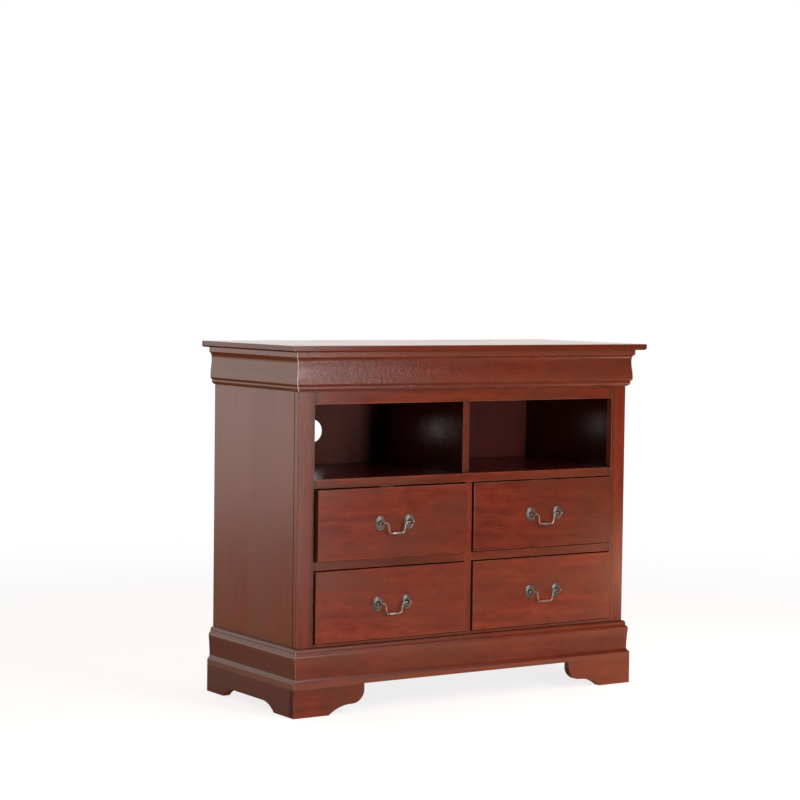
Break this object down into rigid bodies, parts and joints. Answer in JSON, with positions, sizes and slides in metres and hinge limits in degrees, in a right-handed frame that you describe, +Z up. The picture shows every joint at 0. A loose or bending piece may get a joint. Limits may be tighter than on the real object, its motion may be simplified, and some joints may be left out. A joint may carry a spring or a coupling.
{
  "type": "tv armoire",
  "caption": "Open cherry television chest with two equipment bays over drawers, cornice and base mouldings, bracket feet and swan-neck pulls.",
  "frame": {"origin": "on the floor at the middle of the outline of the top board", "axes": "+X to the right of someone facing the front, +Y towards the back, +Z up"},
  "size_m": [1.066, 0.455, 0.889],
  "materials": {
    "case_cherry": "satin lacquer over red-brown cherry stain",
    "moulding_cherry": "satin lacquer over red-brown cherry stain",
    "top_cherry": "semi-gloss lacquer over red-brown cherry stain",
    "front_cherry": "satin lacquer over red-brown cherry stain",
    "inside_cherry": "dark stained and lacquered",
    "back_board": "dark stained thin board",
    "drawer_wood": "clear sealed pale hardwood",
    "drawer_bottom": "clear sealed thin plywood",
    "plain_wood": "bare sanded hardwood",
    "guide_plastic": "moulded nylon",
    "pull_metal": "antiqued grey-brown plating, rubbed bright on the bail"
  },
  "bodies": {
    "case": {"top_board": "top_cherry", "cornice_front": "moulding_cherry", "cornice_left": "moulding_cherry", "cornice_right": "moulding_cherry", "side_panel_left": "case_cherry", "side_panel_right": "case_cherry", "stile_left": "case_cherry", "stile_right": "case_cherry", "top_rail": "case_cherry", "shelf_rail": "case_cherry", "centre_stile": "case_cherry", "drawer_rails": "case_cherry", "bottom_rail": "case_cherry", "shelf_board": "inside_cherry", "bay_divider": "inside_cherry", "drawer_partition": "inside_cherry", "case_bottom": "inside_cherry", "back_panel": "back_board", "base_front": "moulding_cherry", "base_left": "moulding_cherry", "base_right": "moulding_cherry", "foot_front_left": "case_cherry", "foot_front_right": "case_cherry", "apron_left": "case_cherry", "apron_right": "case_cherry", "glue_blocks": "plain_wood", "drawer_tracks": "plain_wood", "drawer_stops": "plain_wood"},
    "upper_left_drawer": {"upper_left_front": "front_cherry", "upper_left_left_side": "drawer_wood", "upper_left_right_side": "drawer_wood", "upper_left_back": "drawer_wood", "upper_left_bottom": "drawer_bottom", "upper_left_guide": "guide_plastic", "upper_left_pull_mounts": "pull_metal"},
    "upper_left_bail": {"upper_left_pull_bail": "pull_metal"},
    "upper_right_drawer": {"upper_right_front": "front_cherry", "upper_right_left_side": "drawer_wood", "upper_right_right_side": "drawer_wood", "upper_right_back": "drawer_wood", "upper_right_bottom": "drawer_bottom", "upper_right_guide": "guide_plastic", "upper_right_pull_mounts": "pull_metal"},
    "upper_right_bail": {"upper_right_pull_bail": "pull_metal"},
    "lower_left_drawer": {"lower_left_front": "front_cherry", "lower_left_left_side": "drawer_wood", "lower_left_right_side": "drawer_wood", "lower_left_back": "drawer_wood", "lower_left_bottom": "drawer_bottom", "lower_left_guide": "guide_plastic", "lower_left_pull_mounts": "pull_metal"},
    "lower_left_bail": {"lower_left_pull_bail": "pull_metal"},
    "lower_right_drawer": {"lower_right_front": "front_cherry", "lower_right_left_side": "drawer_wood", "lower_right_right_side": "drawer_wood", "lower_right_back": "drawer_wood", "lower_right_bottom": "drawer_bottom", "lower_right_guide": "guide_plastic", "lower_right_pull_mounts": "pull_metal"},
    "lower_right_bail": {"lower_right_pull_bail": "pull_metal"}
  },
  "joints": [
    {"name": "upper_left_drawer_slide", "type": "slide", "parent": "case", "child": "upper_left_drawer", "axis": [0, -1, 0], "range_m": [-0.008, 0.332]},
    {"name": "upper_left_bail_swing", "type": "hinge", "parent": "upper_left_drawer", "child": "upper_left_bail", "pos_m": [-0.22975, -0.2155, 0.45775], "axis": [-1, 0, 0], "range_deg": [-15, 195]},
    {"name": "upper_right_drawer_slide", "type": "slide", "parent": "case", "child": "upper_right_drawer", "axis": [0, -1, 0], "range_m": [0, 0.34]},
    {"name": "upper_right_bail_swing", "type": "hinge", "parent": "upper_right_drawer", "child": "upper_right_bail", "pos_m": [0.22975, -0.2075, 0.45775], "axis": [-1, 0, 0], "range_deg": [-15, 195]},
    {"name": "lower_left_drawer_slide", "type": "slide", "parent": "case", "child": "lower_left_drawer", "axis": [0, -1, 0], "range_m": [0, 0.34]},
    {"name": "lower_left_bail_swing", "type": "hinge", "parent": "lower_left_drawer", "child": "lower_left_bail", "pos_m": [-0.22975, -0.2075, 0.2597], "axis": [-1, 0, 0], "range_deg": [-15, 195]},
    {"name": "lower_right_drawer_slide", "type": "slide", "parent": "case", "child": "lower_right_drawer", "axis": [0, -1, 0], "range_m": [0, 0.34]},
    {"name": "lower_right_bail_swing", "type": "hinge", "parent": "lower_right_drawer", "child": "lower_right_bail", "pos_m": [0.22975, -0.2075, 0.2597], "axis": [-1, 0, 0], "range_deg": [-15, 195]}
  ]
}
